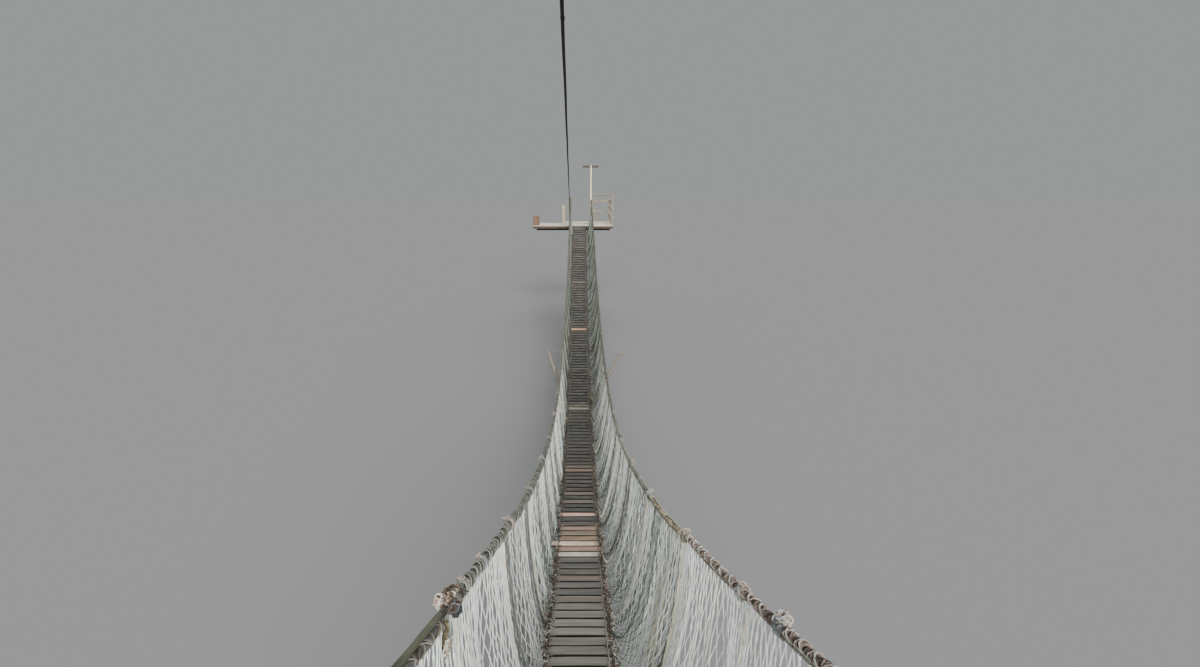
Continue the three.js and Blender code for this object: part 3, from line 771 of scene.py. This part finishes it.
def foot_bay(bay):
    """Where a cord is tied to the deck, for its place at the head: on the slopes they lean."""
    slope = 8 * sag * (bay - spreader_bay) / (bays * span)
    ramp = np.clip(np.minimum(bay, bays - bay) / 3, 0, 1)
    return bay + foot_lean * rail_height * slope * ramp**2 * (3 - 2 * ramp) / bay_length


def foot_at(bay, side):
    """The foot rope's middle line."""
    return off_deck(bay, side * foot_out, -foot_drop)


def net_at(bay, side, v, out):
    """A place on the net: v is 0 at the foot and 1 at the head, out is off its surface. At the
    spreader it is drawn tight on the walkway's side of the poles."""
    bay, v = np.broadcast_arrays(bay, v)
    foot, head = foot_at(foot_bay(bay), side), head_at(bay, side)
    way = foot - head
    low, high = head + 1.55 * way, head + 0.80 * way
    low[..., 0] = foot[..., 0] - 0.26 * way[..., 0]
    high[..., 0] = foot[..., 0] - 0.83 * way[..., 0]
    v = v[..., None]
    w = 1 - v
    place = w**3 * foot + 3 * w * w * v * low + 3 * w * v * v * high + v**3 * head
    tight = np.exp(-(((bay[..., None] - spreader_bay) / 0.16) ** 2))
    place = place + tight * (foot + (head - foot) * v - place)
    slope = w * w * (low - foot) + 2 * w * v * (high - low) + v * v * (head - high)
    outward = unit(np.cross(deck_at(bay)[1], slope)) * side
    return place + outward * out[..., None]


def folds(bay, v, seed):
    """How far the slack net stands off its even surface."""
    tall = np.sin(math.pi * np.clip(v, 0, 1)) ** 0.8
    wave = np.sin(bay * 9.1 + seed) + 0.7 * np.sin(bay * 17.3 + 2 * seed + 1.5 * v)
    wave = wave + 0.5 * np.sin(bay * 31.0 + 3 * seed - 2.0 * v)
    slack = 0.030 * (1 - np.exp(-(((bay - spreader_bay) / 0.2) ** 2)))
    return slack * tall * wave


def gathered(bay, v, seed):
    """The net is drawn together towards the ties, most of all at its head."""
    pull = (0.28 + 0.36 * v**1.5) * np.clip((bay - 2.8) / 0.8, 0.4, 1)
    shift = -pull * np.sin(2 * math.pi * (bay - first_knot)) / (2 * math.pi)
    bunch = 0.026 * np.sin(bay * 19.7 + seed * 5 + 1.6 * v)
    bunch = bunch + 0.011 * np.sin(bay * 43 + seed * 3 - 2.4 * v)
    return bay + shift + bunch * (0.3 + 0.7 * v) * np.clip((bay - 3.2) / 0.8, 0.25, 1)


net_finish = cordage("pale_net_cord", 0.25, 0.22, 0.0006)
first = 0
for number, (count, (rows, cords_a_bay, sides)) in enumerate(zip(panels, net_grades), 1):
    for side, word in both_sides:
        net = Stock()
        rng = np.random.default_rng(100 + 2 * number + (side > 0))
        low_end, high_end = first + 0.002, first + count - 0.002
        line = np.linspace(foot_bay(low_end), foot_bay(high_end), 60 * count)
        sweep(net, foot_at(line, side), foot_radius, 6, (1, 0, 0), paint(132, 130, 118),
              lobes=3, lay=0.06)
        for layer in (0, 1):
            start = max(first, doubled[side]) if layer else first
            if start >= first + count:
                continue
            cords = int(round((first + count - start) * cords_a_bay))
            index = np.arange(cords)[:, None] + int(round(start * cords_a_bay))
            v = np.linspace(0, 1, rows + 1 + layer)
            swing = 0.50 * (1 - 2 * ((index + np.arange(len(v))) % 2))
            swing = swing + rng.normal(0, 0.10, swing.shape)
            bay = (index + 0.5 + 0.5 * layer + swing) / cords_a_bay
            bay = np.clip(gathered(bay, v, layer + 0.2 * side), low_end, high_end)
            belly = np.sin(math.pi * v)
            high = np.clip(v + rng.normal(0, 0.006, bay.shape) * belly, 0, 1)
            stand = folds(bay, v, side + 2.4 * layer) + 0.020 * layer * belly
            stand = stand + rng.normal(0, 0.003, bay.shape)
            path = net_at(bay, side, high, stand)
            # the outer net is darker, painted shade behind the one on the walkway's side
            layer_shade = (0.10, 0.45) if layer else (0.80, 1.03)
            seen = paint(242, 248, 243) * rng.uniform(*layer_shade, (cords, 1))
            seen = (seen * (1 + rng.normal(0, 0.02, (cords, 3))))[:, None]
            # darker towards the deck, and from the sag's low point on darker with painted shade
            # and greenish
            low = np.interp(v, low_v, low_tone[side])
            low = low ** ((0.75 + 0.6 * layer) * np.interp(bay, (8, 11), (1, 2.1)))
            tone_and_shade = low * np.interp(bay, far_bay, net_far_shade)
            # speckled where grime sits in some of the knots, more so where the net is double
            speck = 1 - rng.random(bay.shape) ** 2 * np.interp(bay, (3.4, 4.4), (0.06, 0.24))
            seen = seen * (tone_and_shade * speck)[..., None] ** (1.02, 0.98, 1.06)
            # brown with dirt at the foot, and mossy in one fold of the right-hand net
            soil = np.exp(-((v / (0.06 if number < 3 else 0.12)) ** 2))[:, None]
            seen = seen * (1 - soil * (0.74, 0.79, 0.85))
            moss = np.exp(-(((bay - 3.93 + 0.8 * (0.76 - v)) / 0.070) ** 2)) * (side > 0)
            moss = (moss * np.exp(-(((v - 0.68) / 0.15) ** 4)))[..., None]
            green = paint(196, 191, 146) * rng.uniform(0.5, 1.0, (cords, 1, 1))
            seen = seen * (1 - moss) + moss * green
            sweep(net, path, cord_radius[sides], sides, net_guide, seen, rng.random(cords))
        # a low tangle where the net is laced to the deck
        for a_bay, reach, thick, seen in foot_tangle:
            cords = count * a_bay
            begin = rng.uniform(low_end + 0.03, high_end - 0.03, (cords, 1))
            end = np.clip(begin + rng.normal(0, 0.055, (cords, 1)), low_end, high_end)
            v = np.linspace(0, 1, 4)
            bay = begin * (1 - v) + end * v
            high = rng.uniform(0, 0.4, (cords, 1)) * reach
            high = high + v * rng.uniform(0.1, 0.6, (cords, 1)) * reach
            stand = folds(bay, high, side) + rng.normal(0, 0.014, bay.shape)
            tone = paint(*seen) * rng.uniform(0.6, 1.15, (cords, 1))
            # painted shade: the tangle gets darker along the bridge
            tone = tone * np.interp(begin, (4, 9, 11), (1.0, 0.5, 0.25))
            sweep(net, net_at(bay, side, high, stand), thick, 3, net_guide, tone,
                  rng.random(cords))
        # hanger ropes at the ties, each a few cords twisted together
        for tie in range(first, first + count):
            middle = tie + first_knot
            v = np.linspace(0, 0.985, 30)
            cords = 2 if not 3 <= tie <= 6 else 6 if side > 0 else 4
            for cord in range(cords):
                turn = cord * 2 * math.pi / cords
                bay = middle + (0.003 + 0.0017 * cords) * np.sin(v * (30 + 4 * cord) + turn)
                stand = folds(bay, v, side) - 0.012 + 0.011 * np.cos(v * 44 + turn)
                tone = paint(238, 234, 216) * rng.uniform(0.80, 1.0)
                # painted shade: the hangers get darker past the sag's low point
                tone = tone * np.interp(middle, (8.5, 10.5, 12), (1, 0.5, 0.30))
                sweep(net, net_at(bay, side, v, stand), hanger_radius, 4, net_guide, tone,
                      rng.random())
        net.piece(f"netting_{word}_{number}", net_finish, "net_cord", f"net_{word}_{number}")
    first += count

# The overhead cable. A taut cable in a black plastic sheath runs from the near portal's header
# down to the far left post, tied with a few turns of tape and cord.
floor_top, edge_gap = 0.260, 0.020
sheath_radius, black = 0.013, paint(28, 30, 26)


def from_edge(bank, depth):
    """How far along a place on a platform lies, with its depth from the edge at the bridge."""
    return far_edge + edge_gap + depth if bank == "far" else near_edge - edge_gap - depth


sheath = Finish("black_sheath", specular=0.2)
scuff = sheath.noise((2.4, 0.7, 0.7), 5, 0.65, moved=False)
sheath_colour = sheath.blend(scuff.between(0.5, 0.75), black, paint(70, 74, 64))
sheath_finish = sheath.finish(sheath_colour, 0.42 + 0.35 * scuff, scuff, 0.0008)
cable = Stock()
# the line goes on into the header and the post, and the cable stops in their faces
start = np.array([-0.035, from_edge("near", 0.060), floor_top + 3.400])
end = np.array([-0.478, from_edge("far", 0.075), floor_top + 1.000])
header_face, post_face = from_edge("near", 0.0197), from_edge("far", 0.0097)
gone, stop = ((start[1] - face) / (start[1] - end[1]) for face in (header_face, post_face))
t = np.linspace(gone, stop, 120)
line = start + (end - start) * t[:, None]
line[:, 0] += 0.0012 * np.sin(t * 60)
sweep(cable, line, sheath_radius, 12, (1, 0, 0), black)
for at in (0.012, 0.17, 0.36, 0.55, 0.74, 0.985):
    band = start + (end - start) * (at + np.linspace(-0.0016, 0.0016, 5))[:, None]
    sweep(cable, band, (0.0133, 0.0152, 0.0156, 0.0150, 0.0133), 12, (1, 0, 0), black)
cable.piece("overhead_line", sheath_finish, "black_cable", "overhead_cable")

# The spreader. A round pole is lashed under the deck near mid span, and two peeled poles lean
# out from its ends; a thin cord from each tip holds a handrail out. One tip has a forked twig.
pole = Finish("peeled_pole")
fibre = pole.noise((3.0, 5.5, 5.5), 5, 0.62)
scar = pole.noise((9.0, 1.2, 1.2), 3, 0.6)
pole_colour = pole.blend(scar.between(0.55, 0.72) * 0.7, pole.hue, paint(82, 68, 54))
pole_finish = pole.finish(pole.shade(pole_colour, 0.66 + 0.62 * fibre), 0.7 + 0.25 * fibre,
                          fibre * 0.6 + scar * 0.6, 0.004)
cross_drop, held_bay = 0.0926, 10.75


def stick(stock, start, end, thick, thin, rng, hue, bend, sides=12, rings=18):
    """A peeled round pole: it tapers, bends a little, and swells at its old branch knots."""
    start, end = np.array(start), np.array(end)
    t = np.linspace(0, 1, rings)
    way = unit(end - start)
    one = unit(np.cross(way, (0.1, 0.9, 0.2)))
    two = np.cross(way, one)
    sway = bend * np.sin(math.pi * t)[:, None]
    line = start + (end - start) * t[:, None]
    line = line + sway * (one * np.sin(5 * t + rng.random() * 6)[:, None]
                          + two * np.sin(4 * t + rng.random() * 6)[:, None])
    size = thick + (thin - thick) * t + 0.0022 * rng.normal(0, 1, rings)
    for knot in rng.uniform(0.15, 0.9, 3):
        size = size + 0.0045 * np.exp(-(((t - knot) / 0.025) ** 2))
    line = np.vstack([line[0] - way * 0.004, line, line[-1] + way * 0.004])
    size = np.concatenate([[size[0] * 0.82], size, [size[-1] * 0.8]])
    sweep(stock, line, size, sides, one, hue, rng.random())


def bind(stock, start, travel, one, two, turns, stations, reach, radius, hue, cut):
    """Turns of cord round a pole, from the start on along it as far as they travel."""
    turn = np.linspace(0, 2 * math.pi * turns, stations)[:, None]
    out = np.cos(turn) * one + np.sin(turn) * two
    path = start + out * reach + np.linspace(0, 1, stations)[:, None] * travel
    sweep(stock, path, radius, 4, out, hue, cut)


spreader = Stock()
rng = np.random.default_rng(77)
mid, _, mid_normal = deck_at(spreader_bay)
cross = mid - mid_normal * cross_drop
pale = paint(106, 100, 91)
right, onward, upright = np.eye(3)
stick(spreader, cross - 0.406 * right, cross + 0.396 * right, 0.029, 0.028, rng, pale, 0.002)
for side, tip_out, tip_up, foot in ((-1, -0.870, 1.700, 0.348), (1, 1.155, 1.605, 0.350)):
    tip = mid + (tip_out, 0, tip_up)
    stick(spreader, cross + side * foot * right, tip, 0.046, 0.043, rng, pale, 0.008)
    # turns of cord bind the pole's foot to the cross pole
    bind(spreader, cross + side * 0.30 * right, side * 0.085 * right, onward, upright, 8, 90,
         0.034, 0.0046, paint(160, 156, 142), rng.random())
    # the cord from the tip to the handrail hangs a little, and is wound round the tip
    held = rail_at(held_bay, side)
    tie = held - unit(held - tip) * rail_radius
    grip = tip + (-side * 0.006, 0, -0.030)
    t = np.linspace(0, 1, 14)[:, None]
    path = grip + (tie - grip) * t - 0.020 * np.sin(math.pi * t) * upright
    sweep(spreader, path, 0.0055, 5, (0.2, 0.1, 1), paint(138, 138, 126), rng.random())
    bind(spreader, tip + (-0.010 * side, 0, -0.055), (0.014 * side, 0, 0.042), right, onward,
         5, 50, 0.046, 0.0045, paint(106, 100, 90), rng.random())
# the twig at the right-hand tip: its stem, its longer arm and its shorter one
elbow = tip + (0.070, 0.010, -0.060)
for begin, end, thick, thin, bend, rings in (
    (tip + (-0.075, 0, -0.190), elbow, 0.012, 0.0105, 0.003, 9),
    (elbow + (-0.006, 0, -0.006), tip + (0.103, 0.015, 0.027), 0.0105, 0.008, 0.003, 8),
    (elbow + (-0.030, 0, -0.030), elbow + (-0.026, -0.012, 0.062), 0.0085, 0.006, 0.002, 7),
):
    stick(spreader, begin, end, thick, thin, rng, pale, bend, 8, rings)
spreader.piece("spreader_poles", pole_finish, "pole", "spreader")

# The platforms' bearers and joists. On each bank two heavy dark beams run across, one on each
# side of the round hole in the floor, and sawn joists lie over them, coloured almost black.
dark_finish = timber("dark_timber", (0.060, 0.052, 0.042), 0.6)
platform_left, wing_end, platform_right = -2.360, -0.950, 1.750
platform_depth, wing_depth = 3.400, 2.100
bearer_top, joist_top, joist_width = 0.100, 0.220, 0.060


def beam(stock, bank, x, depth, z, rng, hue, edge=0.006, warp=1.0, stations=None):
    """A timber that fills a box, given from side to side, by its depth from the edge at the
    bridge, and in height. Its grain lies along its longest side."""
    y = [from_edge(bank, end) for end in depth]
    low, high = np.sort(np.transpose([x, y, z]), axis=0)
    size = high - low
    longest = int(np.argmax(size))
    order = [(longest + turn) % 3 for turn in range(3)]
    length, width, thick = size[order]
    if stations is None:
        stations = int(np.clip(length / 0.30, 4, 14))
    board(stock, (low + high) / 2, np.eye(3)[order[0]], np.eye(3)[order[1]],
          (length, width, thick), rng, hue, min(edge, thick * 0.3), stations, warp)


for bank in ("near", "far"):
    rng = np.random.default_rng(200 + len(bank))
    brown = paint(74, 62, 50)
    for name, left, depth in (("front", platform_left + 0.060, (1.590, 1.690)),
                              ("back", wing_end + 0.020, (2.310, 2.410))):
        bearer = Stock()
        beam(bearer, bank, (left, platform_right - 0.060), depth, (-bearer_top, bearer_top), rng,
             brown, 0.010, 0.4)
        bearer.piece(f"{bank}_{name}_beam", dark_finish, "dark_timber", f"{bank}_bearer_{name}")
    joists = Stock()
    joist_height = (bearer_top, joist_top)
    for left, right, depth in ((platform_left, platform_right, joist_width),
                               (wing_end, platform_right, platform_depth),
                               (platform_left, wing_end + 0.010, wing_depth)):
        beam(joists, bank, (left, right), (depth - joist_width, depth), joist_height, rng,
             brown * 0.8, warp=0.5)
    for left in (platform_left, -1.685, wing_end, -0.480, 0, 0.780, 1.240,
                 platform_right - joist_width):
        back = wing_depth if left < wing_end else platform_depth
        beam(joists, bank, (left, left + joist_width), (0.058, back - 0.058), joist_height, rng,
             brown, warp=0.5)
    joists.piece(f"{bank}_joist_frame", dark_finish, "dark_timber", f"{bank}_joists")

# The platforms' floors. Sawn boards, 40 mm thick, run across the joists with small gaps, and
# are cut away in a round hole behind the walkway; sun and rain have bleached them.
board_finish = timber("bleached_board", (0.34, 0.32, 0.27), 0.4)
hole_x, hole_depth, hole_radius = 0.410, 2.000, 0.345
board_rows, board_gap = 24, 0.003


def free_runs(left, right, depth, width):
    """The parts of a board's run that the round hole leaves."""
    nearest = max(abs(depth - hole_depth) - width / 2, 0)
    if nearest >= hole_radius:
        return [(left, right)]
    half = math.sqrt(hole_radius**2 - nearest**2)
    return [(left, hole_x - half), (hole_x + half, right)]


for bank in ("near", "far"):
    rng = np.random.default_rng(300 + len(bank))
    boards = Stock()
    pitch = platform_depth / board_rows
    for row in range(board_rows):
        depth = pitch * (row + 0.5)
        left = platform_left if depth + pitch / 2 < wing_depth + 0.05 else wing_end
        joint = (0.030, 0.810, -0.450)[row % 3]
        reach = pitch / 2 - board_gap
        for low, high in free_runs(left, platform_right, depth, pitch):
            cuts = [low] + [joint] * (low + 0.3 < joint < high - 0.3) + [high]
            for begin, end in zip(cuts, cuts[1:]):
                seen = np.array([186, 179, 162]) * (1 + 0.08 * rng.normal())
                begin, end = begin + rng.uniform(0.001, 0.006), end - rng.uniform(0.001, 0.006)
                beam(boards, bank, (begin, end), (depth - reach, depth + reach),
                     (joist_top + 0.001, floor_top), rng, paint(*seen), 0.004, 0.5)
    boards.piece(f"{bank}_floor_boards", board_finish, "platform_board", f"{bank}_floor")

# The fences. On the right of each platform rough posts carry three side boards, and at the back
# two rails and a few short sticks; a long round rail lies over the front corner.
fence_finish = timber("pale_rail", (0.30, 0.28, 0.24), 0.5)
fence_post, side_x, back = 0.070, platform_right - 0.085, platform_depth - 0.100


def above(low, high):
    """Heights over the floor."""
    return floor_top + low, floor_top + high


for bank, rail_start in (("near", 1.191), ("far", 0.641)):
    rng = np.random.default_rng(400 + len(bank))
    fence = Stock()
    pale_board, post_grey = paint(236, 228, 212), paint(120, 110, 94)
    for x, depth, height in ((side_x, 0.020, 1.560), (side_x, 1.700, 1.300),
                             (side_x, back, 1.300), (0.760, back, 1.300)):
        beam(fence, bank, (x, x + fence_post), (depth, depth + fence_post), above(0, height), rng,
             post_grey, 0.010)
    for low, high in ((0.560, 0.640), (1.110, 1.200)):
        beam(fence, bank, (0.770, side_x + 0.010), (back + 0.020, back + 0.050), above(low, high),
             rng, post_grey)
    # the side boards are pale, and painted paler still: painted light on their inner faces, which
    # lie in shade
    for height in (0.380, 0.810, 1.160):
        beam(fence, bank, (side_x + 0.040, side_x + 0.080), (0.030, platform_depth - 0.020),
             above(height, height + 0.09), rng, pale_board)
    for x in (1.015, 1.135, 1.255):
        low, high = ((x, from_edge(bank, back + 0.035), z) for z in above(0.004, 0.566))
        stick(fence, low, high, 0.015, 0.014, rng, post_grey, 0.004, 8, 8)
    begin, end = ((x, from_edge(bank, 0.055), floor_top + 1.520)
                  for x in (rail_start + 0.004, platform_right + 0.126))
    stick(fence, begin, end, 0.029, 0.027, rng, paint(112, 98, 78), 0.002, 10, 12)
    fence.piece(f"{bank}_fence_rails", fence_finish, "pole", f"{bank}_fence")

# The posts at the two ends of the walkway. On the near bank two posts and a header make a
# portal; on the far bank stand a dark post, a mast with a board over it, and two short posts.
portal = Stock()
rng = np.random.default_rng(500)
grey = paint(132, 124, 108)
for left in (1.090, -0.900):
    beam(portal, "near", (left, left + 0.100), (0.010, 0.110), above(0, 3.480), rng, grey, 0.012)
beam(portal, "near", (-0.980, 1.270), (0.020, 0.100), above(3.340, 3.460), rng, grey, 0.010)
portal.piece("near_portal_frame", fence_finish, "pole", "near_portal")

post = Stock()
beam(post, "far", (-0.510, -0.390), (0.010, 0.100), above(0, 1.420), rng, paint(92, 78, 60), 0.014)
post.piece("far_left_post_timber", dark_finish, "dark_timber", "far_left_post")

mast = Stock()
low, high = ((0.605, from_edge("far", 0.045), z) for z in above(0.004, 2.956))
stick(mast, low, high, 0.037, 0.030, rng, paint(222, 204, 176), 0.004, 14, 30)
beam(mast, "far", (0.200, 0.970), (0.076, 0.136), above(2.850, 2.950), rng, paint(58, 46, 40),
     0.008)
mast.piece("far_mast_pole", pole_finish, "pole", "far_mast")

post = Stock()
beam(post, "far", (-0.860, -0.710), (0.240, 0.320), above(0, 1.000), rng, paint(146, 136, 112),
     0.010)
post.piece("far_side_post_board", fence_finish, "pole", "far_side_post")

stub = Stock()
bark_finish = timber("rough_bark", (0.16, 0.10, 0.07), 0.7)
beam(stub, "far", (-2.340, -2.040), (0.020, 0.160), above(0, 0.480), rng, paint(98, 72, 58), 0.030,
     3.0, 9)
stub.piece("far_stub_log", bark_finish, "bark_timber", "far_stub_post")
